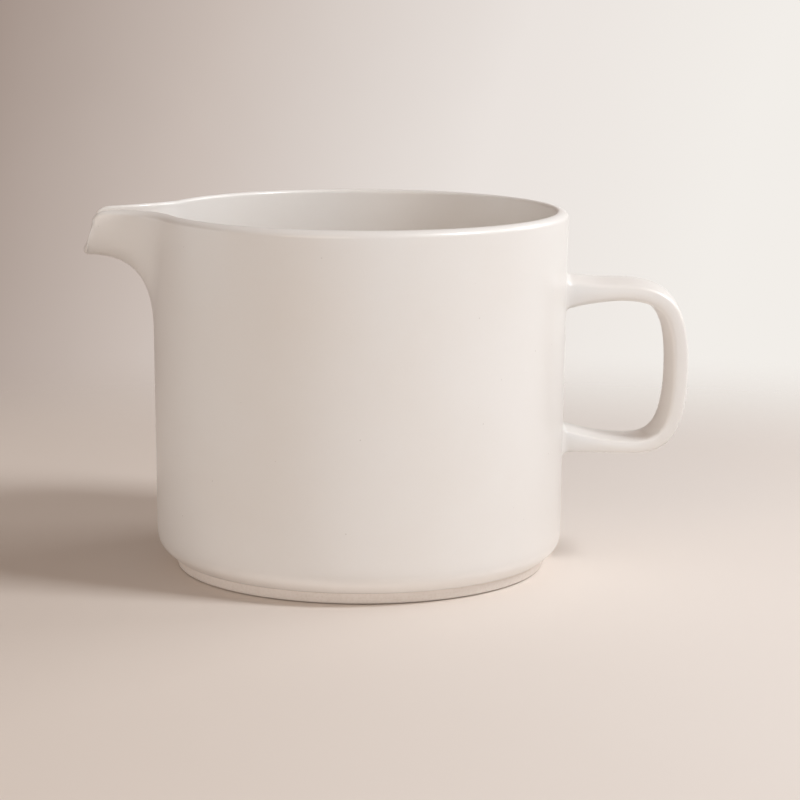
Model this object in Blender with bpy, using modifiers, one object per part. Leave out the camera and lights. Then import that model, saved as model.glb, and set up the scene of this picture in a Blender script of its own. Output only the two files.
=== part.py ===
# Ceramic pitcher: a straight-sided stoneware jug with an open spout, a strap handle and a bare foot ring.
# Units are metres and +Z is up. The handle points to +X and the spout to -X.
# The origin is on the table, under the middle of the pitcher's bounding box.

import math

import bmesh
import bpy
from mathutils import Vector
from mathutils.geometry import interpolate_bezier

MM = 0.001
GAP = 0.3 * MM  # clearance between pieces that touch

# Body: radii from its own axis, heights from the table
RIM_HEIGHT = 115.0 * MM
RIM_RADIUS = 66.2 * MM
WALL = 3.9 * MM
BASE_RADIUS = 65.0 * MM  # outer radius where the wall starts to turn in
BASE_CURVE_HEIGHT = 9.5 * MM
UNDERSIDE_RADIUS = 59.9 * MM
BASE_CURVE_CORNER = (65.0 * MM, 5.2 * MM)  # radius and height that the lower curve bends towards
COVE_RISE = 7.0 * MM  # inside curve between the floor and the wall

# Floor and foot
FOOT_HEIGHT = 3.9 * MM
FOOT_TOP_RADIUS = 59.5 * MM
FOOT_TREAD_RADIUS = 57.8 * MM
FOOT_TREAD_WIDTH = 5.0 * MM
FOOT_EDGE = 0.7 * MM
FLOOR_THICKNESS = 4.8 * MM
FLOOR_RADIUS = 54.0 * MM
FLOOR_EDGE = 0.4 * MM

# Spout: a U-shaped gutter whose root flares into a round-bottomed notch of the rim
SPOUT_REACH = 87.2 * MM  # from the body's axis to the tip
MOUTH_LEAN = 6.5 * MM  # how far the top of the mouth lies behind the tip
MOUTH_BOW = 2.5  # power of that lean, which leaves the lower half of the mouth nearly upright
NOTCH_HALF_WIDTH = 28.0 * MM
NOTCH_ARC_HEIGHT = 105.0 * MM
MOUTH_HALF_WIDTH = 10.0 * MM
MOUTH_BOTTOM = 99.6 * MM
MOUTH_TOP = 114.5 * MM
LIP = 3.0 * MM  # wall thickness at the mouth
LIP_ROUND = 1.1 * MM
SLIP_SEAM = 1.2 * MM  # width of the slip between the spout and the notch
ELLIPSE_WEIGHT = math.sqrt(0.5)  # makes a conic with a square corner a quarter of an ellipse

# Handle: a strap along a path of knots in the XZ plane
HANDLE_REACH = 105.0 * MM  # from the body's axis to the outside of the grip
UPPER_ROOT_HEIGHT = 88.3 * MM
LOWER_ROOT_HEIGHT = 40.1 * MM
UPPER_ARM = (77.0 * MM, 88.8 * MM)  # end of the straight upper arm
GRIP_HEIGHT = 64.5 * MM  # where the grip stands furthest out
LOWER_ARM = (84.5 * MM, 38.8 * MM)  # start of the straight lower arm
UPPER_ROOT_PULL = 3.5 * MM  # lengths of the path's handles at the knots
LOWER_ROOT_PULL = 7.0 * MM
UPPER_PULL = 18.0 * MM
GRIP_PULL = 26.0 * MM
LOWER_PULL = 9.5 * MM
STRAP_THICKNESS = [7.4 * MM, 6.0 * MM, 5.1 * MM, 4.1 * MM, 5.8 * MM]  # at the five knots
STRAP_WIDTH = [22.0 * MM, 21.5 * MM, 20.0 * MM, 18.5 * MM, 18.5 * MM]
STRAP_SQUARENESS = 4.5  # exponent of the strap's superellipse section
ROOT_PAD = 1.6 * MM  # thickness of the slip behind each root
ROOT_FILLET = 2.0 * MM  # how far the slip spreads round each root

# Fineness
TURN_STEPS = 72
ARC_STEPS = 6
EDGE_STEPS = 3  # of the small curves: the foot's edges and the slip round the handle's roots
U_STEPS = 20
SPOUT_STEPS = 10
PATH_STEPS = [4, 9, 9, 4]  # along the four stretches between the handle's knots
STRAP_POINTS = 24
LIP_ANGLES = [70, 40]  # degrees, from the crest of a lip down to its straight side
MOUTH_EDGE_ANGLES = [30, 60, 85]  # degrees, round the end of the mouth
SHARP_ANGLE = math.radians(35)
MERGE_DISTANCE = 0.01 * MM
CUTTER_RISE = 8.0 * MM  # how far the notch's cutter stands above the rim

GLAZE = ((0.76, 0.71, 0.66), 0.32)  # colour and roughness
BARE_CLAY = ((0.58, 0.49, 0.42), 0.85)


def conic(start, corner, end, t, weight=ELLIPSE_WEIGHT):
    """A point of the curve that leaves start towards corner and comes into end from corner."""
    near, middle, far = (1 - t) ** 2, 2 * t * (1 - t) * weight, t**2
    return (start * near + corner * middle + end * far) / (near + middle + far)


def arc(centre, radius, first, last, steps):
    """Points of a circle from the angle first to the angle last, both in degrees."""
    points = []
    for i in range(steps + 1):
        angle = math.radians(first + (last - first) * i / steps)
        points.append(centre + radius * Vector((math.cos(angle), math.sin(angle))))
    return points


def wall_radius(height):
    """Outer radius of the body, which widens a little towards the rim."""
    share = (height - BASE_CURVE_HEIGHT) / (RIM_HEIGHT - BASE_CURVE_HEIGHT)
    return BASE_RADIUS + (RIM_RADIUS - BASE_RADIUS) * share


def new_collection(name):
    collection = bpy.data.collections.new(name)
    bpy.context.scene.collection.children.link(collection)
    return collection


def new_material(name, colour, roughness):
    material = bpy.data.materials.new(name)
    material.use_nodes = True
    shader = material.node_tree.nodes["Principled BSDF"]
    shader.inputs["Base Color"].default_value = (*colour, 1.0)
    shader.inputs["Roughness"].default_value = roughness
    shader.inputs["Metallic"].default_value = 0.0
    return material


def new_object(name, mesh, collection, root):
    part = bpy.data.objects.new(name, mesh)
    collection.objects.link(part)
    part.parent = root
    return part


def finish(part, look):
    """Gives a piece its own material and smooth shading with sharp corners."""
    part.data.materials.append(new_material(part.name + "_finish", *look))
    part.data.shade_smooth()
    part.data.set_sharp_from_angle(angle=SHARP_ANGLE)


def turned(name, profile, collection, root):
    """A closed profile of (radius, height) points, running down its outer side, turned about Z."""
    mesh = bpy.data.meshes.new(name)
    points = [(p[0], 0.0, p[1]) for p in profile]
    edges = [(i, (i + 1) % len(points)) for i in range(len(points))]
    mesh.from_pydata(points, edges, [])
    part = new_object(name, mesh, collection, root)
    screw = part.modifiers.new("turn", "SCREW")
    screw.steps = TURN_STEPS
    screw.render_steps = TURN_STEPS
    screw.use_merge_vertices = True
    screw.merge_threshold = MERGE_DISTANCE
    screw.use_smooth_shade = True
    return part


def loft(name, loops, collection, root):
    """A closed body through loops of points. Each end is closed by pairing a loop's points across it."""
    shape = bmesh.new()
    rings = [[shape.verts.new(point) for point in loop] for loop in loops]
    count = len(rings[0])
    for ring, following in zip(rings, rings[1:]):
        for i in range(count):
            j = (i + 1) % count
            shape.faces.new((ring[i], ring[j], following[j], following[i]))
    for ring in (rings[0], rings[-1]):
        for i in range(count // 2 - 1):
            shape.faces.new((ring[i], ring[i + 1], ring[count - 2 - i], ring[count - 1 - i]))
    bmesh.ops.recalc_face_normals(shape, faces=shape.faces)
    mesh = bpy.data.meshes.new(name)
    shape.to_mesh(mesh)
    shape.free()
    return new_object(name, mesh, collection, root)


def body_profile():
    """Down the outside from the rim, in along the underside, and up the inside with a cove at the floor."""
    underside = FOOT_HEIGHT + GAP
    floor_top = underside + FLOOR_THICKNESS
    cove_top = floor_top + COVE_RISE
    hole_radius = FLOOR_RADIUS + GAP
    rim_centre = Vector((RIM_RADIUS - WALL / 2, RIM_HEIGHT - WALL / 2))
    curve_start = Vector((BASE_RADIUS, BASE_CURVE_HEIGHT))
    curve_end = Vector((UNDERSIDE_RADIUS, underside))
    cove_start = Vector((hole_radius, floor_top))
    cove_end = Vector((wall_radius(cove_top) - WALL, cove_top))
    cove_corner = Vector((cove_end.x, floor_top))
    profile = arc(rim_centre, WALL / 2, 90, 0, ARC_STEPS)
    for i in range(ARC_STEPS + 1):
        profile.append(conic(curve_start, Vector(BASE_CURVE_CORNER), curve_end, i / ARC_STEPS))
    profile.append(Vector((hole_radius, underside)))
    for i in range(ARC_STEPS + 1):
        profile.append(conic(cove_start, cove_corner, cove_end, i / ARC_STEPS))
    profile += arc(rim_centre, WALL / 2, 180, 90, ARC_STEPS)[:-1]
    return profile


def notch_cutter(collection, root):
    """A bar along X, round below, that cuts the notch for the spout and its slip out of the wall."""
    half_width = NOTCH_HALF_WIDTH + SLIP_SEAM + 2 * GAP
    above = RIM_HEIGHT + CUTTER_RISE
    outline = arc(Vector((0.0, NOTCH_ARC_HEIGHT)), half_width, 180, 360, 2 * U_STEPS)
    outline += [Vector((half_width, above)), Vector((-half_width, above))]
    shape = bmesh.new()
    inner_end = -RIM_RADIUS / 2
    face = shape.faces.new([shape.verts.new((inner_end, p.x, p.y)) for p in outline])
    grown = bmesh.ops.extrude_face_region(shape, geom=[face])
    moved = [v for v in grown["geom"] if isinstance(v, bmesh.types.BMVert)]
    bmesh.ops.translate(shape, verts=moved, vec=(-RIM_RADIUS, 0.0, 0.0))
    bmesh.ops.recalc_face_normals(shape, faces=shape.faces)
    mesh = bpy.data.meshes.new("notch_cutter")
    shape.to_mesh(mesh)
    shape.free()
    cutter = new_object("notch_cutter", mesh, collection, root)
    cutter.hide_render = True
    cutter.display_type = "WIRE"
    return cutter


def body_wall(parts, cutters, root):
    wall = turned("body_wall", body_profile(), parts, root)
    notch = wall.modifiers.new("spout notch", "BOOLEAN")
    notch.operation = "DIFFERENCE"
    notch.solver = "EXACT"
    notch.object = notch_cutter(cutters, root)
    finish(wall, GLAZE)


def base_floor(parts, root):
    """A disc whose top edge is flush with the cove of the wall."""
    bottom = FOOT_HEIGHT + GAP
    shape = bmesh.new()
    bmesh.ops.create_cone(
        shape,
        cap_ends=True,
        segments=TURN_STEPS,
        radius1=FLOOR_RADIUS,
        radius2=FLOOR_RADIUS,
        depth=FLOOR_THICKNESS,
    )
    mesh = bpy.data.meshes.new("base_floor")
    shape.to_mesh(mesh)
    shape.free()
    floor = new_object("base_floor", mesh, parts, root)
    floor.location.z = bottom + FLOOR_THICKNESS / 2
    edge = floor.modifiers.new("eased edge", "BEVEL")
    edge.width = FLOOR_EDGE
    edge.segments = 1
    finish(floor, GLAZE)


def foot_ring(parts, root):
    """A tapered ring with a flat tread and eased edges."""
    inner_tread = FOOT_TREAD_RADIUS - FOOT_TREAD_WIDTH
    outer_centre = Vector((FOOT_TREAD_RADIUS - FOOT_EDGE, FOOT_EDGE))
    inner_centre = Vector((inner_tread + FOOT_EDGE, FOOT_EDGE))
    inner_top = inner_tread - (FOOT_TOP_RADIUS - FOOT_TREAD_RADIUS) / 2
    profile = [Vector((FOOT_TOP_RADIUS, FOOT_HEIGHT))]
    profile += arc(outer_centre, FOOT_EDGE, 0, -90, EDGE_STEPS)
    profile += arc(inner_centre, FOOT_EDGE, -90, -180, EDGE_STEPS)
    profile.append(Vector((inner_top, FOOT_HEIGHT)))
    finish(turned("foot_ring", profile, parts, root), BARE_CLAY)


def u_stations():
    """Places along a U, from the crest of one lip round the bottom to the crest of the other.

    Each is (across, sink, rise, curl): across goes from 1 to -1, sink is 1 at the bottom, rise is 1 at the
    top of the straight sides, and curl is the angle round the lip.
    """
    lip_angles = [math.radians(angle) for angle in LIP_ANGLES]
    stations = [(1.0, 0.0, 1.0, angle) for angle in lip_angles]
    stations.append((1.0, 0.0, 1.0, 0.0))
    for i in range(U_STEPS + 1):
        angle = math.pi * i / U_STEPS
        stations.append((math.cos(angle), math.sin(angle), 0.0, 0.0))
    stations.append((-1.0, 0.0, 1.0, 0.0))
    stations += [(-1.0, 0.0, 1.0, angle) for angle in reversed(lip_angles)]
    return stations


def u_point(station, half_width, arc_height, bottom, top, lip):
    """Where a station lies on a U of this size, as (Y, Z)."""
    across, sink, rise, curl = station
    side_top = top - lip / 2
    height = arc_height - (arc_height - bottom) * sink
    height += (side_top - arc_height) * rise + lip / 2 * math.sin(curl)
    return half_width * across, height


def seam_point(station, depth, half_width):
    """A station of the spout's root in the wall. Depth runs from 0 outside to 1 inside."""
    bottom = NOTCH_ARC_HEIGHT - half_width
    y, z = u_point(station, half_width, NOTCH_ARC_HEIGHT, bottom, RIM_HEIGHT, WALL)
    radius = wall_radius(z) - WALL * depth
    return Vector((-math.sqrt(radius**2 - y**2), y, z))


def mouth_point(station, depth):
    """A station of the spout's mouth, which leans back towards the top."""
    half_width = MOUTH_HALF_WIDTH - LIP * depth
    bottom = MOUTH_BOTTOM + LIP * depth
    arc_height = MOUTH_BOTTOM + MOUTH_HALF_WIDTH
    y, z = u_point(station, half_width, arc_height, bottom, MOUTH_TOP, LIP)
    rise = max(z - MOUTH_BOTTOM, 0.0) / (MOUTH_TOP - MOUTH_BOTTOM)
    return Vector((LIP_ROUND - SPOUT_REACH + MOUTH_LEAN * rise**MOUTH_BOW, y, z))


def depth_of(station, inside):
    """Share of the wall's thickness at a station, on the outer or the inner half of the section."""
    share = (1 - math.cos(station[3])) / 2
    return 1 - share if inside else share


def both_halves(point_at):
    """A closed section: the outer half from lip to lip, then the inner half back."""
    stations = u_stations()
    outer = [point_at(s, depth_of(s, False)) for s in stations]
    inner = [point_at(s, depth_of(s, True)) for s in stations]
    return outer + inner[::-1]


def spout_section(t):
    """The spout's section between its root, t = 0, and its mouth, t = 1."""

    def point_at(station, depth):
        root = seam_point(station, depth, NOTCH_HALF_WIDTH)
        mouth = mouth_point(station, depth)
        radius_squared = root.x**2 + root.y**2
        corner = Vector(((radius_squared - mouth.y * root.y) / root.x, mouth.y, mouth.z))
        return conic(root, corner, mouth, t)

    return both_halves(point_at)


def mouth_edge(angle):
    """The rounded end of the lip: the mouth's section, drawn in and pushed out along X."""

    def point_at(station, depth):
        inset = LIP_ROUND / LIP * (1 - math.cos(angle))
        drawn_in = min(max(depth, inset), 1 - inset)
        return mouth_point(station, drawn_in) - Vector((LIP_ROUND * math.sin(angle), 0.0, 0.0))

    return both_halves(point_at)


def spout(parts, root):
    sections = [spout_section(i / SPOUT_STEPS) for i in range(SPOUT_STEPS + 1)]
    sections += [mouth_edge(math.radians(angle)) for angle in MOUTH_EDGE_ANGLES]
    finish(loft("spout", sections, parts, root), GLAZE)


def spout_slip(parts, root):
    """A thin strip through the wall, between the spout's root and the notch."""
    inner_width = NOTCH_HALF_WIDTH + GAP
    sections = []
    for half_width in (inner_width, inner_width + SLIP_SEAM):
        sections.append(both_halves(lambda s, d: seam_point(s, d, half_width)))
    finish(loft("spout_slip", sections, parts, root), GLAZE)


def strap_knots():
    """The path's knots from the upper root to the lower one: (point, heading, pull before, pull after)."""
    root_offset = ROOT_PAD + 2 * GAP
    along = Vector((1.0, 0.0, 0.0))
    down = Vector((0.0, 0.0, -1.0))
    upper_root = Vector((wall_radius(UPPER_ROOT_HEIGHT) + root_offset, 0.0, UPPER_ROOT_HEIGHT))
    lower_root = Vector((wall_radius(LOWER_ROOT_HEIGHT) + root_offset, 0.0, LOWER_ROOT_HEIGHT))
    upper_arm = Vector((UPPER_ARM[0], 0.0, UPPER_ARM[1]))
    grip = Vector((HANDLE_REACH - STRAP_THICKNESS[2] / 2, 0.0, GRIP_HEIGHT))
    lower_arm = Vector((LOWER_ARM[0], 0.0, LOWER_ARM[1]))
    return [
        (upper_root, along, 0.0, UPPER_ROOT_PULL),
        (upper_arm, along, UPPER_ROOT_PULL, UPPER_PULL),
        (grip, down, GRIP_PULL, GRIP_PULL),
        (lower_arm, -along, LOWER_PULL, LOWER_ROOT_PULL),
        (lower_root, -along, LOWER_ROOT_PULL, 0.0),
    ]


def between(sizes, i, share):
    """A size partway from knot i to the next."""
    return sizes[i] + (sizes[i + 1] - sizes[i]) * share


def strap_stations():
    """Places along the strap from the upper root to the lower one: (centre, tangent, thickness, width)."""
    knots = strap_knots()
    centres = []
    sizes = []
    for i, (first, second) in enumerate(zip(knots, knots[1:])):
        start, heading, _, pull_out = first
        end, next_heading, pull_in, _ = second
        steps = PATH_STEPS[i]
        handles = start + heading * pull_out, end - next_heading * pull_in
        curve = interpolate_bezier(start, *handles, end, steps + 1)
        for j in range(0 if i == 0 else 1, steps + 1):
            centres.append(Vector(curve[j]))
            sizes.append((between(STRAP_THICKNESS, i, j / steps), between(STRAP_WIDTH, i, j / steps)))
    tangents = [after - before for before, after in zip(centres, centres[2:])]
    tangents = [knots[0][1]] + tangents + [knots[-1][1]]
    return [(c, t.normalized(), *size) for c, t, size in zip(centres, tangents, sizes)]


def strap_section(thickness, width):
    """Points of the strap's section, a superellipse, as (across, outward) pairs."""
    power = 2 / STRAP_SQUARENESS
    points = []
    for i in range(STRAP_POINTS):
        angle = 2 * math.pi * (i + 0.5) / STRAP_POINTS
        cosine, sine = math.cos(angle), math.sin(angle)
        across = math.copysign(abs(cosine) ** power, cosine) * width / 2
        outward = math.copysign(abs(sine) ** power, sine) * thickness / 2
        points.append((across, outward))
    return points


def handle(parts, root):
    loops = []
    for centre, tangent, thickness, width in strap_stations():
        side = Vector((0.0, 1.0, 0.0))
        outward = tangent.cross(side)
        section = strap_section(thickness, width)
        loops.append([centre - side * a + outward * o for a, o in section])
    finish(loft("handle", loops, parts, root), GLAZE)


def root_slip(name, station, parts, root):
    """The fillet of slip that spreads from a root of the strap onto the round wall."""
    centre, _, thickness, width = station
    radius = wall_radius(centre.z) + GAP
    spread = strap_section(thickness + 2 * ROOT_FILLET, width + 2 * ROOT_FILLET)
    loops = []
    for i in range(EDGE_STEPS + 1):
        loop = []
        for (a, o), (wide_a, wide_o) in zip(strap_section(thickness, width), spread):
            on_wall = Vector((math.sqrt(radius**2 - wide_a**2), wide_a, centre.z + wide_o))
            corner = Vector((math.sqrt(radius**2 - a**2), a, centre.z + o))
            on_strap = Vector((centre.x - GAP, a, centre.z + o))
            loop.append(conic(on_wall, corner, on_strap, i / EDGE_STEPS))
        loops.append(loop)
    finish(loft(name, loops, parts, root), GLAZE)


def build():
    for old in list(bpy.data.objects):
        bpy.data.objects.remove(old, do_unlink=True)
    parts = new_collection("ceramic_pitcher")
    cutters = new_collection("cutters")
    root = bpy.data.objects.new("pitcher", None)
    parts.objects.link(root)
    root.location.x = (SPOUT_REACH - HANDLE_REACH) / 2
    body_wall(parts, cutters, root)
    base_floor(parts, root)
    foot_ring(parts, root)
    spout(parts, root)
    spout_slip(parts, root)
    handle(parts, root)
    stations = strap_stations()
    root_slip("upper_handle_slip", stations[0], parts, root)
    root_slip("lower_handle_slip", stations[-1], parts, root)


build()
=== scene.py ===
import cmath
import math

import bmesh
import bpy
from mathutils import Matrix, Vector
from mathutils.geometry import interpolate_bezier


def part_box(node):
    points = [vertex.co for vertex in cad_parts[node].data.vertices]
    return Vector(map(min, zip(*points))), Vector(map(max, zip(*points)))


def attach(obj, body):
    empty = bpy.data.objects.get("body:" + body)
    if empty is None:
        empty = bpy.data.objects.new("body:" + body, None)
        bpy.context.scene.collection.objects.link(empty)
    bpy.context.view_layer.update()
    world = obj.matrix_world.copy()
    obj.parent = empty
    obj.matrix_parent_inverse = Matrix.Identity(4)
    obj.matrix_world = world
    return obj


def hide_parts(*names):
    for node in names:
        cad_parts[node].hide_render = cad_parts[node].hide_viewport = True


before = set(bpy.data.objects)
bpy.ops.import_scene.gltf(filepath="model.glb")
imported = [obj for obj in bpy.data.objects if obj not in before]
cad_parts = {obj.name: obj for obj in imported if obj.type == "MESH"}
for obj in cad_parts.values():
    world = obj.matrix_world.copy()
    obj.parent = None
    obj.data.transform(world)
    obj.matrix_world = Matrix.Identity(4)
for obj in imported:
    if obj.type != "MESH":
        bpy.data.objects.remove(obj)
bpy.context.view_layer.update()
print("frame:", ", ".join(sorted(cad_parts)))

# places read off the solids, in metres; radii and reaches are from the body's own axis
wallLow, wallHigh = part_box("body_wall")
footLow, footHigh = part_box("foot_ring")
floorLow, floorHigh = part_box("base_floor")
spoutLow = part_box("spout")[0]
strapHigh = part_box("handle")[1]
upperRootHeight = sum(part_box("upper_handle_slip"), Vector()).z / 2
lowerRootHeight = sum(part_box("lower_handle_slip"), Vector()).z / 2
axisX = (footLow.x + footHigh.x) / 2
rimHeight = wallHigh.z
rimRadius = (wallHigh.y - wallLow.y) / 2
floorRadius = (floorHigh.y - floorLow.y) / 2
spoutReach = axisX - spoutLow.x
handleReach = strapHigh.x - axisX


class Sock:  # a shader socket that takes part in sums
    def __init__(self, look, socket):
        self.look = look
        self.socket = socket

    def sum(self, operation, first, second):
        return self.look.node("ShaderNodeMath", {"operation": operation}, {0: first, 1: second})

    def __add__(self, other):
        return self.sum("ADD", self, other)

    def __radd__(self, other):
        return self.sum("ADD", other, self)

    def __sub__(self, other):
        return self.sum("SUBTRACT", self, other)

    def __rsub__(self, other):
        return self.sum("SUBTRACT", other, self)

    def __mul__(self, other):
        return self.sum("MULTIPLY", self, other)

    def __rmul__(self, other):
        return self.sum("MULTIPLY", other, self)

    def __truediv__(self, other):
        return self.sum("DIVIDE", self, other)

    def __rtruediv__(self, other):
        return self.sum("DIVIDE", other, self)

    def __pow__(self, other):
        return self.sum("POWER", self, other)

    def __rpow__(self, other):
        return self.sum("POWER", other, self)


class Look:  # the node tree of a material or of the world
    def __init__(self, owner):
        owner.use_nodes = True
        self.owner = owner
        self.tree = owner.node_tree
        self.tree.nodes.clear()

    def node(self, kind, settings, sockets, out=0):
        made = self.tree.nodes.new(kind)
        for name, value in settings.items():
            if name == "stops":
                self.setStops(made.color_ramp.elements, value)
            else:
                setattr(made, name, value)
        for key, value in sockets.items():
            if isinstance(value, Sock):
                self.tree.links.new(value.socket, made.inputs[key])
            else:
                made.inputs[key].default_value = value
        if out is None:
            return made
        if isinstance(out, tuple):
            return [Sock(self, made.outputs[name]) for name in out]
        return Sock(self, made.outputs[out])

    def setStops(self, elements, stops):
        while len(elements) < len(stops):
            elements.new(1.0)
        for element, (position, colour) in zip(elements, stops):
            element.position, element.color = position, opaque(colour)

    def place(self):  # where a point is in its piece, from the pitcher's axis
        return self.node("ShaderNodeTexCoord", {}, {}, out="Object")

    def axes(self, vector):
        return self.node("ShaderNodeSeparateXYZ", {}, {0: vector}, out=("X", "Y", "Z"))

    def stretched(self, vector, scales):
        return self.node("ShaderNodeVectorMath", {"operation": "MULTIPLY"}, {0: vector, 1: scales})

    def noise(self, vector, scale, detail):
        return self.node("ShaderNodeTexNoise", {}, {"Vector": vector, "Scale": scale, "Detail": detail})

    def ramp(self, value, low, high):  # 0 to 1 with soft ends
        settings = {"interpolation_type": "SMOOTHSTEP"}
        return self.node("ShaderNodeMapRange", settings, {0: value, 1: low, 2: high, 3: 0.0, 4: 1.0})

    def specks(self, vector, scale, radius):  # 1 on scattered dots, which fade from half this radius on
        cells = {"Vector": vector, "Scale": scale}
        distance = self.node("ShaderNodeTexVoronoi", {}, cells, out="Distance")
        reach = radius * scale
        return 1 - self.ramp(distance, reach / 2, reach)

    def blend(self, share, first, second):
        return self.node("ShaderNodeMix", {"data_type": "RGBA"}, {0: share, 6: first, 7: second}, out=2)

    def relief(self, height):  # a bump, with its height in metres
        return self.node("ShaderNodeBump", {}, {"Height": height, "Distance": 1.0, "Strength": 1.0})

    def close(self, shader):
        isWorld = isinstance(self.owner, bpy.types.World)
        kind = "ShaderNodeOutputWorld" if isWorld else "ShaderNodeOutputMaterial"
        self.node(kind, {}, {"Surface": shader}, out=None)
        return self.owner


def opaque(colour):
    return (*colour, 1.0)


# shapes that several pieces use
def conic(start, corner, end, t, weight=math.sqrt(0.5)):  # from start towards corner, then into end
    near, middle, far = (1 - t) ** 2, 2 * weight * t * (1 - t), t * t
    return (start * near + corner * middle + end * far) / (near + middle + far)


def softStep(t):
    t = min(max(t, 0.0), 1.0)
    return t * t * (3 - 2 * t)


def ring(radius, height, angles, shift=0.0):  # angles run from the spout's side, -X
    return [Vector((shift - radius * math.cos(a), radius * math.sin(a), height)) for a in angles]


def arcPoints(centre, radius, first, last, steps):  # (radius, height) pairs, angles in degrees
    angles = [math.radians(first + (last - first) * i / steps) for i in range(steps + 1)]
    return [(centre[0] + radius * math.cos(a), centre[1] + radius * math.sin(a)) for a in angles]


def addPiece(name, rings, looped, material, nodes):  # a skin through rings of points
    shape = bmesh.new()
    loops = [[shape.verts.new(point) for point in points] for points in rings]
    count = len(loops[0])
    pairs = list(zip(loops, loops[1:]))
    if looped:
        pairs.append((loops[-1], loops[0]))
    for loop, following in pairs:
        for i in range(count):
            j = (i + 1) % count
            shape.faces.new((loop[i], loop[j], following[j], following[i]))
    if not looped:  # both ends close on a point in their middle
        for loop in (loops[0], loops[-1]):
            hub = shape.verts.new(sum((v.co for v in loop), Vector()) / count)
            for i in range(count):
                shape.faces.new((loop[i], loop[(i + 1) % count], hub))
    bmesh.ops.recalc_face_normals(shape, faces=shape.faces)
    mesh = bpy.data.meshes.new(name)
    shape.to_mesh(mesh)
    shape.free()
    mesh.shade_smooth()
    mesh.materials.append(material)
    made = bpy.data.objects.new(name, mesh)
    bpy.context.scene.collection.objects.link(made)
    made.location.x = axisX
    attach(made, "root")
    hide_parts(*nodes)
    print("piece:", name, len(mesh.polygons), "faces")


glaze = {
    "colour": (0.805, 0.780, 0.752),
    "warmColour": (0.792, 0.758, 0.722),
    "curvePaintedLightColour": (0.930, 0.900, 0.868),  # painted light: the lower curve faces down into shade and is painted paler, to look about as bright as the wall
    "stainColour": (0.72, 0.62, 0.52),  # also where the glaze thins out above the bare foot
    "speckColour": (0.20, 0.145, 0.11),
    "cloud": (22.0, 3.0),  # noise: scale per metre, and detail
    "grain": (1500.0, 3.0),
    "wave": (75.0, 2.0),
    "ringStretch": (10.0, 10.0, 620.0),
    "ringDetail": 4.0,
    "warmSpan": (0.35, 0.75),  # cloud values between which the colour turns warm
    "grainStain": 0.10,  # how strongly each one takes the stain's colour
    "dustStain": 0.12,
    "edgeStain": 0.6,
    "speckStain": 0.28,  # and the specks their own
    "specks": (120.0, 0.00026),  # cells per metre, and radius
    "dust": (330.0, 0.00020),
    "roughness": 0.33,
    "roughnessDrift": 0.08,
    "speckRoughness": 0.2,  # added on the specks
    "ior": 1.5,
    "coat": 0.40,  # share of the glassy top layer
    "coatRoughness": 0.15,
    "ringDepth": 0.000012,
    "speckDepth": 0.000012,
    "waveDepth": 0.000022,
    "grainDepth": 0.000004,
    "curvePaintedLightSpan": (0.0066, 0.0100),  # heights between which the painted light on the lower curve ends
    "edgeSpan": (0.0036, 0.0041),
}


def glazeLook(name, isThrown):  # a thrown piece has faint rings all the way round
    look = Look(bpy.data.materials.new(name))
    place = look.place()
    height = look.axes(place)[2]
    cloud = look.noise(place, *glaze["cloud"])
    grain = look.noise(place, *glaze["grain"])
    wave = look.noise(place, *glaze["wave"])
    specks = look.specks(place, *glaze["specks"])
    dust = look.specks(place, *glaze["dust"])
    stainColour = opaque(glaze["stainColour"])
    warmth = look.ramp(cloud, *glaze["warmSpan"])
    colour = look.blend(warmth, opaque(glaze["colour"]), opaque(glaze["warmColour"]))
    colour = look.blend(glaze["grainStain"] * grain + glaze["dustStain"] * dust, colour, stainColour)
    colour = look.blend(glaze["speckStain"] * specks, colour, opaque(glaze["speckColour"]))
    relief = wave * glaze["waveDepth"] + grain * glaze["grainDepth"] - specks * glaze["speckDepth"]
    if isThrown:
        # painted light: the lower curve, which faces down into shade, is painted paler
        paintedLightOnCurve = 1 - look.ramp(height, *glaze["curvePaintedLightSpan"])
        atEdge = 1 - look.ramp(height, *glaze["edgeSpan"])
        colour = look.blend(paintedLightOnCurve, colour, opaque(glaze["curvePaintedLightColour"]))
        colour = look.blend(glaze["edgeStain"] * atEdge, colour, stainColour)
        rings = look.noise(look.stretched(place, glaze["ringStretch"]), 1.0, glaze["ringDetail"])
        relief = relief + rings * glaze["ringDepth"]
    roughness = glaze["roughness"] + glaze["roughnessDrift"] * cloud + glaze["speckRoughness"] * specks
    shader = look.node("ShaderNodeBsdfPrincipled", {}, {
        "Base Color": colour,
        "Roughness": roughness,
        "IOR": glaze["ior"],
        "Coat Weight": glaze["coat"],
        "Coat Roughness": glaze["coatRoughness"],
        "Normal": look.relief(relief),
    })
    return look.close(shader)


clay = {
    "colour": (0.825, 0.762, 0.706),
    "darkColour": (0.735, 0.655, 0.585),
    "grain": (1100.0, 4.0),  # noise: scale per metre, and detail
    "lineStretch": (6.0, 6.0, 2300.0),  # turning lines
    "lineDetail": 3.0,
    "grainShare": 0.6,  # of the shading, the lines have the rest
    "shadeSpan": (0.42, 0.72),  # values between which the colour turns dark
    "shade": 0.6,  # how strongly it does
    "lineDepth": 0.000030,
    "grainDepth": 0.000020,
    "roughness": 0.80,
    "grainRoughness": 0.12,
}


def clayLook(name):
    look = Look(bpy.data.materials.new(name))
    place = look.place()
    grain = look.noise(place, *clay["grain"])
    lines = look.noise(look.stretched(place, clay["lineStretch"]), 1.0, clay["lineDetail"])
    pattern = clay["grainShare"] * grain + (1 - clay["grainShare"]) * lines
    shade = look.ramp(pattern, *clay["shadeSpan"])
    colour = look.blend(clay["shade"] * shade, opaque(clay["colour"]), opaque(clay["darkColour"]))
    relief = lines * clay["lineDepth"] + grain * clay["grainDepth"]
    shader = look.node("ShaderNodeBsdfPrincipled", {}, {
        "Base Color": colour,
        "Roughness": clay["roughness"] + clay["grainRoughness"] * grain,
        "Normal": look.relief(relief),
    })
    return look.close(shader)


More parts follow.
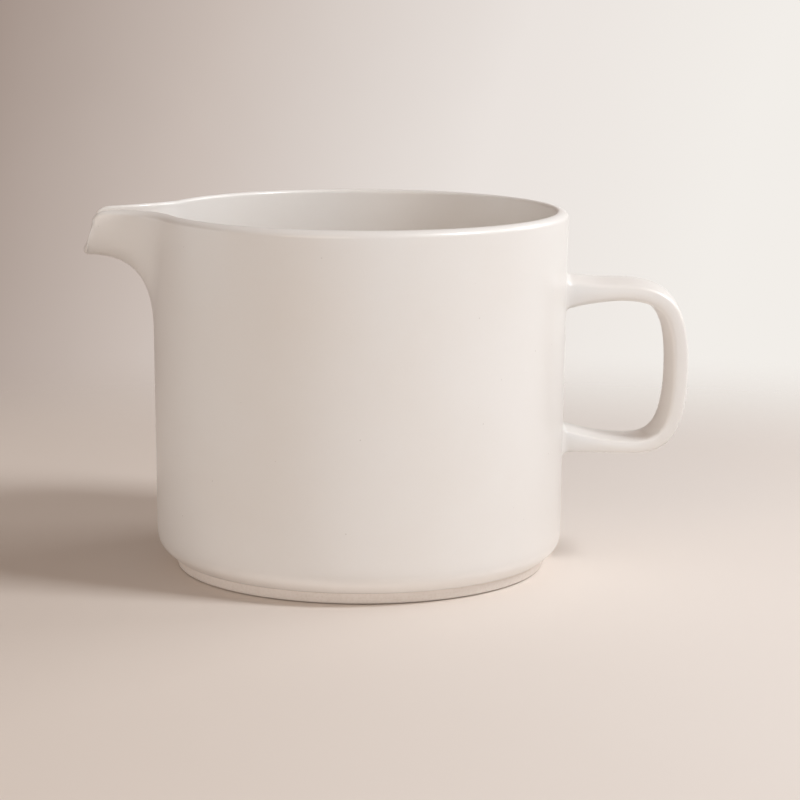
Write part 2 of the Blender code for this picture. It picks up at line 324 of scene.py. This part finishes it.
bodyGlaze = glazeLook("bodyGlaze", True)
strapGlaze = glazeLook("strapGlaze", False)
bareClay = clayLook("bareClay")
print("finishes:", bodyGlaze.name, strapGlaze.name, bareClay.name)


vessel = {
    "wall": 0.0039,  # thickness
    "lip": 0.0025,  # thickness at the spout's end
    "rimDrop": 0.0003,  # how much lower the rim is than the solid's
    "rimCrest": (0.72, 0.54),  # its highest line: inward and up, as shares of the thickness
    "rimInner": 0.30,  # drop of its inner edge from there
    "rimProbe": 0.00005,  # step below the edge that shows which way the skin runs
    "baseRadius": 0.0652,  # outside, above the lower curve
    "curveTop": 0.0132,
    "curveCorner": (0.0652, 0.0074),  # (radius, height)
    "curveEnd": (0.0604, 0.0038),
    "curveWeight": 1.90,
    "footShift": 0.0004,  # how far foot and lower curve stand off the axis, towards the handle
    "coveRise": 0.0070,  # inside curve between floor and wall
    "floorDish": 0.0006,
    "flareHalfWidth": 0.0250,  # where the spout leaves the wall, at the rim
    "flareNarrowing": 0.40,  # how fast that gets narrower below the rim
    "flareDepth": 0.0375,
    "flareWeight": 1.08,  # pull of the flare's curve into its corner, 0.71 is a round one
    "flareSpread": 1.40,  # width at that corner against the mouth's
    "flareRise": 0.0001,  # height of the lips there over the mouth's
    "mouthHalfWidth": 0.0083,
    "mouthBottom": 0.1000,
    "mouthTop": 0.1145,
    "mouthRound": 0.0020,  # drop of the lips at the mouth's corners
    "roundStart": 0.89,  # share of the spout's length before that drop
    "mouthPower": 2 / 2.15,  # a U between an ellipse, 1, and a box, 0
    "mouthOut": 0.0006,  # how far the tip reaches past the solid's
    "mouthLean": 0.0037,  # how far the mouth's top lies behind the tip
    "mouthBow": 2.6,  # above 1 keeps that lean to its upper part
    "slit": 0.0125,  # half the stretch of rim that opens into the mouth
    "settle": 0.0300,  # depth below which the columns are evenly spaced
    "mouthColumns": 40,
    "lipColumns": 26,
    "lipGather": 1.6,  # above 1 brings the columns closer towards the mouth
    "backColumns": 190,
    "rimSteps": 9,
    "curveSteps": 16,
    "rimRows": (0.0120, 16),  # (depth reached, rows)
    "flareRows": (0.0440, 24),
    "wallRows": 18,
    "underRadii": (0.012, 0.030, 0.046, 0.053, 0.057, 0.0595),  # rings of the closed underside
    "floorRings": 14,
}


def rimOutline():  # (inward, up) pairs over the rim, as shares of its thickness
    crestIn, crestUp = vessel["rimCrest"]
    quarter = [math.pi / 2 * i / vessel["rimSteps"] for i in range(vessel["rimSteps"] + 1)]
    outer = [(crestIn * (1 - math.cos(a)), crestUp * math.sin(a)) for a in quarter]
    inner = []
    for a in quarter[1:]:
        drop = vessel["rimInner"] * (1 - math.cos(a))
        inner.append((crestIn + (1 - crestIn) * math.sin(a), crestUp - drop))
    return outer + inner


rimShape = rimOutline()
rimCrest = vessel["rimCrest"][1]
rimEdge = rimHeight - vessel["rimDrop"] - rimCrest * vessel["wall"]  # where its rounding starts
flareReach = math.acosh(vessel["flareHalfWidth"] / vessel["slit"])
flareStretch = vessel["slit"] * math.sinh(flareReach) / vessel["flareDepth"]


def wallRadius(height):
    share = (height - vessel["curveTop"]) / (rimHeight - vessel["curveTop"])
    return vessel["baseRadius"] + (rimRadius - vessel["baseRadius"]) * share


def wallPoint(angle, height, inward):  # inward is 0 on the outside and 1 on the inside
    radius = wallRadius(height) - vessel["wall"] * inward
    return Vector((-radius * math.cos(angle), radius * math.sin(angle), height))


def spoutPoint(turn, out, inward):  # turn goes round the U from 0 to pi, out from the wall to the mouth
    cosine, sine = math.cos(turn), max(math.sin(turn), 0.0)
    rootHeight = rimEdge - vessel["flareDepth"] * sine
    rootAcross = vessel["flareHalfWidth"] * cosine / (1 + vessel["flareNarrowing"] * sine)
    root = wallPoint(math.asin(rootAcross / wallRadius(rootHeight)), rootHeight, inward)
    top = vessel["mouthTop"] - rimCrest * vessel["lip"]
    bottom = vessel["mouthBottom"] + vessel["lip"] * inward
    halfWidth = vessel["mouthHalfWidth"] - vessel["lip"] * inward
    y = halfWidth * math.copysign(abs(cosine) ** vessel["mouthPower"], cosine)
    z = top - (top - bottom) * sine ** vessel["mouthPower"]
    rise = (z - vessel["mouthBottom"]) / (vessel["mouthTop"] - vessel["mouthBottom"])
    tip = rimCrest * vessel["lip"] - vessel["mouthOut"] - spoutReach
    mouth = Vector((tip + vessel["mouthLean"] * max(rise, 0.0) ** vessel["mouthBow"], y, z))
    cornerY = y * vessel["flareSpread"]
    cornerX = (root.x**2 + root.y**2 - cornerY * root.y) / root.x  # on the wall's tangent
    corner = Vector((cornerX, cornerY, z + vessel["flareRise"] * cosine**2))
    point = conic(root, corner, mouth, out, vessel["flareWeight"])
    last = max(out - vessel["roundStart"], 0.0) / (1 - vessel["roundStart"])
    point.z -= vessel["mouthRound"] * cosine**2 * (1 - math.sqrt(max(1 - last * last, 0.0)))
    return point


def skinPoint(angle, depth, inward):  # on the wall or the spout, by its depth below the rim's edge
    if math.cos(angle) > 0:
        across = wallRadius(rimEdge - depth) * math.sin(angle)
        across *= 1 + vessel["flareNarrowing"] * min(depth / vessel["flareDepth"], 1.0)
        bent = cmath.acosh(complex(across, flareStretch * depth) / vessel["slit"])
        if bent.real < flareReach:
            return spoutPoint(bent.imag, 1 - bent.real / flareReach, inward)
    return wallPoint(angle, rimEdge - depth, inward)


def columnAngles():  # each column's angle at the rim, and where the columns are even
    flare = math.asin(vessel["flareHalfWidth"] / wallRadius(rimEdge))
    lip, mouth, back = vessel["lipColumns"], vessel["mouthColumns"], vessel["backColumns"]
    reaches = [math.cosh(flareReach * (1 - i / lip) ** vessel["lipGather"]) for i in range(lip)]
    crossings = reaches + [math.cos(math.pi * i / mouth) for i in range(mouth)]
    crossings += [-1.0] + [-r for r in reversed(reaches)]
    atRim = [math.asin(vessel["slit"] * c / wallRadius(rimEdge)) for c in crossings]
    even = [flare * (1 - 2 * i / (len(atRim) - 1)) for i in range(len(atRim))]
    behind = [-flare - (2 * math.pi - 2 * flare) * i / back for i in range(1, back)]
    return atRim + behind, even + behind


def rowDepths(last):
    reached, rows = vessel["rimRows"]
    depths = [reached * (i / rows) ** 2 for i in range(rows)]
    flareEnd, flareRows = vessel["flareRows"]
    depths += [reached + (flareEnd - reached) * i / flareRows for i in range(flareRows)]
    wallRows = vessel["wallRows"]
    return depths + [flareEnd + (last - flareEnd) * i / wallRows for i in range(wallRows)]


def buildVessel():
    atRim, even = columnAngles()

    def wallRow(depth, inward):
        settled = softStep(depth / vessel["settle"])
        angles = [a + (b - a) * settled for a, b in zip(atRim, even)]
        return [skinPoint(angle, depth, inward) for angle in angles]

    def rimRow(inward, up):  # a line of the rim, from its outer edge to its inner one
        points = []
        for outer, inner, rise in zip(outerEdge, innerEdge, rises):
            through = inner - outer
            rise = rise - through * (rise.dot(through) / through.length_squared)
            points.append(outer + through * inward + rise.normalized() * through.length * up)
        return points

    outerEdge, innerEdge = wallRow(0.0, 0.0), wallRow(0.0, 1.0)
    probe, middle = vessel["rimProbe"], 0.5  # depth, and share of the thickness
    rises = [skinPoint(angle, 0.0, middle) - skinPoint(angle, probe, middle) for angle in atRim]
    underside = vessel["curveEnd"][1]
    floorTop = floorHigh.z
    coveTop = floorTop + vessel["coveRise"]
    steps = vessel["curveSteps"]
    shift = vessel["footShift"]
    rings = [ring(radius, underside, even, shift) for radius in vessel["underRadii"]]
    curveStart, curveCorner = Vector(vessel["curveEnd"]), Vector(vessel["curveCorner"])
    curveEnd = Vector((vessel["baseRadius"], vessel["curveTop"]))
    for i in range(steps + 1):
        point = conic(curveStart, curveCorner, curveEnd, i / steps, vessel["curveWeight"])
        rings.append(ring(point.x, point.y, even, shift * (1 - softStep(i / steps))))
    outerDepths = rowDepths(rimEdge - vessel["curveTop"])
    rings += [wallRow(depth, 0.0) for depth in reversed(outerDepths)]
    rings += [rimRow(inward, up) for inward, up in rimShape[1:]]
    rings += [wallRow(depth, 1.0) for depth in rowDepths(rimEdge - coveTop)]
    coveStart = Vector((wallRadius(coveTop) - vessel["wall"], coveTop))
    coveEnd = Vector((floorRadius, floorTop))
    coveCorner = Vector((coveStart.x, floorTop))
    for i in range(steps + 1):
        point = conic(coveStart, coveCorner, coveEnd, i / steps)
        rings.append(ring(point.x, point.y, even))
    for i in range(1, vessel["floorRings"]):
        radius = floorRadius * (1 - i / vessel["floorRings"])
        dish = vessel["floorDish"] * softStep(i / vessel["floorRings"])
        rings.append(ring(radius, floorTop - dish, even))
    print("vessel:", len(atRim), "columns,", len(rings), "rows")
    stoodFor = ("body_wall", "base_floor", "spout", "spout_slip")
    addPiece("glazedVessel", rings, False, bodyGlaze, stoodFor)


buildVessel()


strap = {
    "upperArm": (0.0770, 0.08885),  # end of the straight upper arm: reach and height
    "gripHeight": 0.0645,  # where the grip stands furthest out
    "lowerArm": (0.0845, 0.0387),
    "upperLift": 0.0009,  # the upper root's rise over the middle of its slip
    "lowerLift": -0.0013,
    # how far each stretch keeps the headings of its two ends
    "pulls": ((0.0035, 0.0035), (0.0165, 0.0245), (0.0260, 0.0095), (0.0070, 0.0070)),
    "thickness": (0.0053, 0.0048, 0.0046, 0.0037, 0.0034),  # along the edges, at the five knots
    "flare": (0.0024, 0.0034),  # how much thicker the two roots are, towards the inside of the loop
    "flareLength": (0.0172, 0.0228),
    "width": (0.0212, 0.0222, 0.0220, 0.0188, 0.0174),
    "crown": 0.0016,  # how far the upper arm's back is rounded
    "gripCrown": 0.0003,
    "innerCrown": (0.0003, 0.0014),  # of the inner face, on the arms and on the grip
    "bulge": 0.0003,  # rounding of the narrow sides
    "outerEdge": 0.0009,  # rounding of the edges
    "innerEdge": (0.0014, 0.0014, 0.0009, 0.0006, 0.0007),  # at the five knots
    "edgeSteps": 6,
    "faceSteps": (10, 4),  # points across the wide faces and the narrow ones
    "rootLength": 0.0016,  # how far the root's fillet runs along the strap
    "rootSpread": 0.0016,  # and along the wall
    "sunk": 0.00002,  # keeps the fillet's edge just under the wall's skin
    "plug": 0.0015,  # how deep the closed end sits in the wall
    "steps": (10, 30, 30, 16),
    "filletSteps": 10,
}


def strapSection(thickness, width, innerEdge, crown, innerCrown):  # (across, outward) pairs
    halfWidth, half = width / 2, thickness / 2
    corners = []
    for i in range(4):
        edge = innerEdge if i > 1 else strap["outerEdge"]
        middle = math.radians(45 + 90 * i)
        across = math.copysign(halfWidth - edge, math.cos(middle))
        outward = math.copysign(half - edge, math.sin(middle))
        corners.append(arcPoints((across, outward), edge, 90 * i, 90 * i + 90, strap["edgeSteps"]))
    points = []
    for i, arc in enumerate(corners):
        start, end = Vector(arc[-1]), Vector(corners[(i + 1) % 4][0])
        count = strap["faceSteps"][i % 2]
        points += arc
        points += [start.lerp(end, j / count) for j in range(1, count)]
    rounded = []
    for across, outward in points:
        swell = (crown if outward > 0 else -innerCrown) * (1 - (across / halfWidth) ** 2)
        bulge = math.copysign(strap["bulge"], across) * (1 - (outward / half) ** 2)
        rounded.append((across + bulge, outward + swell))
    return rounded


def strapLoop(centre, tangent, thickness, width, innerEdge):
    side = Vector((0.0, 1.0, 0.0))
    outward = tangent.cross(side)
    crown = strap["gripCrown"] + (strap["crown"] - strap["gripCrown"]) * softStep(tangent.x)
    armCrown, gripCrown = strap["innerCrown"]
    innerCrown = armCrown + (gripCrown - armCrown) * softStep(-tangent.z)
    section = strapSection(thickness, width, innerEdge, crown, innerCrown)
    return [centre - side * a + outward * o for a, o in section]


def eased(values, i, t):  # a smooth course through the values at the knots
    before, start = values[max(i - 1, 0)], values[i]
    end, after = values[i + 1], values[min(i + 2, len(values) - 1)]
    slopeIn, slopeOut = (end - before) / 2, (after - start) / 2
    a, b = 2 * t**3 - 3 * t**2, t**3 - t**2
    return start * (1 + a) - end * a + slopeIn * (b - t**2 + t) + slopeOut * b


def rootFlare(centre, centres):
    total = 0.0
    for root, flare, length in zip((centres[0], centres[-1]), strap["flare"], strap["flareLength"]):
        total += flare * max(1 - (centre - root).length / length, 0.0) ** 2
    return total


def strapPath():  # (centre, tangent, thickness, width, inner rounding), from the upper root down
    along, down = Vector((1.0, 0.0, 0.0)), Vector((0.0, 0.0, -1.0))
    upperX = wallRadius(upperRootHeight) + strap["rootLength"]
    lowerX = wallRadius(lowerRootHeight) + strap["rootLength"]
    gripX = handleReach - strap["thickness"][2] / 2 - strap["gripCrown"]
    knots = [
        (Vector((upperX, 0.0, upperRootHeight + strap["upperLift"])), along),
        (Vector((strap["upperArm"][0], 0.0, strap["upperArm"][1])), along),
        (Vector((gripX, 0.0, strap["gripHeight"])), down),
        (Vector((strap["lowerArm"][0], 0.0, strap["lowerArm"][1])), -along),
        (Vector((lowerX, 0.0, lowerRootHeight + strap["lowerLift"])), -along),
    ]
    courses = ("thickness", "width", "innerEdge")
    centres, sizes = [], []
    for i, steps in enumerate(strap["steps"]):
        (start, heading), (end, nextHeading) = knots[i], knots[i + 1]
        pullOut, pullIn = strap["pulls"][i]
        pulled = (start + heading * pullOut, end - nextHeading * pullIn)
        curve = interpolate_bezier(start, *pulled, end, steps + 1)
        for j in range(0 if i == 0 else 1, steps + 1):
            centres.append(Vector(curve[j]))
            sizes.append([eased(strap[key], i, j / steps) for key in courses])
    tangents = [along] + [b - a for a, b in zip(centres, centres[2:])] + [-along]
    stations = []
    for centre, tangent, size in zip(centres, tangents, sizes):
        tangent = tangent.normalized()
        flare = rootFlare(centre, centres)
        centre = centre - tangent.cross(Vector((0.0, 1.0, 0.0))) * (flare / 2)
        stations.append((centre, tangent, size[0] + flare, *size[1:]))
    return stations


def rootLoops(station):  # from inside the wall, over the fillet, to the strap's end
    centre, tangent, thickness, width, innerEdge = station
    spread = 2 * strap["rootSpread"]
    narrow = strapLoop(centre, tangent, thickness, width, innerEdge)
    wide = strapLoop(centre, tangent, thickness + spread, width + spread, innerEdge)

    def onWall(point, sunk):
        radius = wallRadius(point.z) - sunk
        return Vector((math.sqrt(radius**2 - point.y**2), point.y, point.z))

    loops = [[onWall(w, strap["plug"]) for w in wide]]
    under = strap["sunk"]
    fillets = [(onWall(w, under), onWall(n, under), n) for w, n in zip(wide, narrow)]
    for i in range(strap["filletSteps"]):
        t = i / strap["filletSteps"]
        loops.append([conic(*fillet, t) for fillet in fillets])
    return loops


def buildHandle():
    path = strapPath()
    rings = rootLoops(path[0])
    rings += [strapLoop(*station) for station in path]
    rings += reversed(rootLoops(path[-1]))
    stoodFor = ("handle", "upper_handle_slip", "lower_handle_slip")
    addPiece("strapHandle", rings, False, strapGlaze, stoodFor)


buildHandle()


foot = {
    "tuck": 0.0004,  # how far its top runs up into the vessel
    "topRadius": 0.0601,
    "treadRadius": 0.0590,
    "treadWidth": 0.0072,
    "edge": 0.0004,  # height of the bevel under its outer side, and rounding inside
    "undercut": 0.0050,  # the bevel's width
    "arris": 0.0002,  # small flat between the outer side and the bevel
    "arrisDrop": 1 / 3,  # of that width
    "undercutSag": 0.35,  # height of the bevel's middle, as a share of its edge's
    "innerTaper": 0.0009,
    "sideSteps": 6,
    "edgeSteps": 6,
    "columns": 240,
}


def buildFoot():
    top, edge, undercut = footHigh.z + foot["tuck"], foot["edge"], foot["undercut"]
    outerTread, innerTread = foot["treadRadius"], foot["treadRadius"] - foot["treadWidth"]
    outline = [(foot["topRadius"], top), (foot["topRadius"], footHigh.z)]
    for i in range(1, foot["sideSteps"]):
        share = i / foot["sideSteps"]
        radius = foot["topRadius"] + (outerTread - foot["topRadius"]) * share
        outline.append((radius, footHigh.z + (edge - footHigh.z) * share))
    arrisEnd = (outerTread - foot["arris"], edge - foot["arris"] * foot["arrisDrop"])
    outline += [(outerTread, edge), arrisEnd]
    outline += [(outerTread - undercut / 2, edge * foot["undercutSag"]), (outerTread - undercut, 0.0)]
    outline += arcPoints((innerTread + edge, edge), edge, -90, -180, foot["edgeSteps"])
    outline.append((innerTread - foot["innerTaper"], top))
    angles = [2 * math.pi * i / foot["columns"] for i in range(foot["columns"])]
    rings = [ring(radius, height, angles, vessel["footShift"]) for radius, height in outline]
    addPiece("bareFoot", rings, True, bareClay, ("foot_ring",))


buildFoot()


stage = {
    "centre": (0.0, -0.25),
    "radius": 0.80,
    "segments": 96,
    "fade": (0.43, 0.69),  # radii between which the floor turns into the backdrop
    # painted shade: the floor is darker on the left and paler on the right, in place of the light
    # falling off
    "floorShadedLeft": (0.72, 0.637, 0.57),
    "floorLitRight": (0.805, 0.745, 0.695),
    "floorShadeSpan": (-0.16, 0.16),  # X of the two colours of the painted shade
    "backSpan": (-0.09, 0.20),  # sideways part of the direction, at the horizon
    "backTilt": -0.28,  # how far that leans with the height
    "mottle": (14.0, 4.0),  # noise: scale, and detail
    "floorMottle": 0.03,
    "backMottle": 0.02,
    # painted shade: the backdrop runs from dark on the left to pale on the right, in place of the light
    # falling off
    "backdrop": (
        (0.0, (0.371, 0.296, 0.258)),
        (0.29, (0.584, 0.503, 0.456)),
        (0.67, (0.823, 0.768, 0.730)),
        (1.0, (0.888, 0.855, 0.814)),
    ),
    "ambient": (0.295, 0.245, 0.218),
}


def floorLook():
    look = Look(bpy.data.materials.new("paleFloor"))
    place = look.place()
    x, y = look.axes(place)[:2]
    mottle = look.noise(place, *stage["mottle"])
    # painted shade across the floor, darker towards the left
    share = look.ramp(x + stage["floorMottle"] * mottle, *stage["floorShadeSpan"])
    colour = look.blend(share, opaque(stage["floorShadedLeft"]), opaque(stage["floorLitRight"]))
    dx, dy = x - stage["centre"][0], y - stage["centre"][1]
    far = look.ramp((dx * dx + dy * dy) ** 0.5, *stage["fade"])
    paper = look.node("ShaderNodeBsdfDiffuse", {}, {"Color": colour})
    clear = look.node("ShaderNodeBsdfTransparent", {}, {})
    return look.close(look.node("ShaderNodeMixShader", {}, {0: far, 1: paper, 2: clear}))


def addFloor():
    shape = bmesh.new()
    bmesh.ops.create_circle(shape, cap_ends=True, segments=stage["segments"], radius=stage["radius"])
    bmesh.ops.translate(shape, verts=shape.verts, vec=(*stage["centre"], 0.0))
    mesh = bpy.data.meshes.new("floor")
    shape.to_mesh(mesh)
    shape.free()
    mesh.materials.append(floorLook())
    made = bpy.data.objects.new("floor", mesh)
    bpy.context.scene.collection.objects.link(made)


def addWorld():
    world = bpy.data.worlds.new("studio")
    bpy.context.scene.world = world
    look = Look(world)
    direction = look.node("ShaderNodeTexCoord", {}, {}, out="Generated")
    x, _, z = look.axes(direction)
    mottle = look.noise(direction, *stage["mottle"])
    across = x + stage["backTilt"] * z + stage["backMottle"] * (mottle - 0.5)  # 0.5 is its mean
    left, right = stage["backSpan"]
    share = (across - left) / (right - left)
    settings = {"stops": stage["backdrop"]}
    # painted shade across the backdrop, darker towards the left
    backdrop = look.node("ShaderNodeValToRGB", settings, {0: share}, out="Color")
    rays = ("Is Camera Ray", "Is Glossy Ray", "Is Transmission Ray")
    camera, glossy, through = look.node("ShaderNodeLightPath", {}, {}, out=rays)
    seen = look.ramp(camera + glossy + through, 0.0, 1.0)
    colour = look.blend(seen, opaque(stage["ambient"]), backdrop)
    look.close(look.node("ShaderNodeBackground", {}, {"Color": colour, "Strength": 1.0}))


# bearing is in degrees to the right of the camera's side
# level is what a white sheet that faces the lamp shows
lamps = {
    "key": {"bearing": 66.0, "lift": 44.0, "size": (0.3, 0.4), "level": 0.61,
            "colour": (0.93, 0.965, 1.0)},
    "rear": {"bearing": 112.0, "lift": 30.0, "size": (0.7, 0.5), "level": 0.275,
             "colour": (1.0, 1.0, 1.0)},
    "fill": {"bearing": -25.0, "lift": 15.0, "size": (0.9, 0.5), "level": 0.25,
             "colour": (1.0, 0.85, 0.71)},
    "side": {"bearing": -95.0, "lift": 6.0, "size": (0.9, 0.5), "level": 0.085,
             "colour": (0.75, 0.90, 1.0)},
    "lowFill": {"bearing": 0.0, "lift": 5.0, "size": (1.2, 0.4), "level": 0.105,
                "colour": (0.35, 0.70, 1.0)},
}
lampDistance = 1.3  # from the middle of the pitcher


def addLamp(name, bearing, lift, size, level, colour):
    b, e = math.radians(bearing), math.radians(lift)
    towards = Vector((math.sin(b) * math.cos(e), -math.cos(b) * math.cos(e), math.sin(e)))
    data = bpy.data.lights.new(name, "AREA")
    data.shape = "RECTANGLE"
    data.size, data.size_y = size
    data.energy = level * math.pi**2 * lampDistance**2
    data.color = colour
    lamp = bpy.data.objects.new(name, data)
    bpy.context.scene.collection.objects.link(lamp)
    lamp.location = Vector((axisX, 0.0, rimHeight / 2)) + towards * lampDistance
    lamp.rotation_euler = towards.to_track_quat("Z", "Y").to_euler()
    lamp.visible_camera = False


camera = {
    "back": 0.83946,  # from the pitcher's axis, along the floor
    "height": 0.20228,
    "turn": 2.005,  # degrees the pitcher is turned under the camera
    "yaw": 0.888,
    "pitch": 10.096,
    "roll": 0.384,
    "lens": 119.07,
    "sensor": 36.0,
}


def addCamera():
    data = bpy.data.cameras.new("photoCamera")
    data.lens = camera["lens"]
    data.sensor_width = camera["sensor"]
    made = bpy.data.objects.new("photoCamera", data)
    bpy.context.scene.collection.objects.link(made)
    turn, yaw, pitch, roll = (math.radians(camera[key]) for key in ("turn", "yaw", "pitch", "roll"))
    heading = Matrix.Rotation(-(yaw + turn), 3, "Z")
    tilt = Matrix.Rotation(math.pi / 2 - pitch, 3, "X")
    made.rotation_euler = (heading @ tilt @ Matrix.Rotation(roll, 3, "Z")).to_euler()
    spot = Matrix.Rotation(-turn, 3, "Z") @ Vector((0.0, -camera["back"], camera["height"]))
    made.location = spot + Vector((axisX, 0.0, 0.0))
    bpy.context.scene.camera = made


addFloor()
addWorld()
for lampName, settings in lamps.items():
    addLamp(lampName, **settings)
addCamera()
bpy.context.scene.view_settings.view_transform = "Standard"
print("stage: floor, world,", len(lamps), "lamps and the camera")
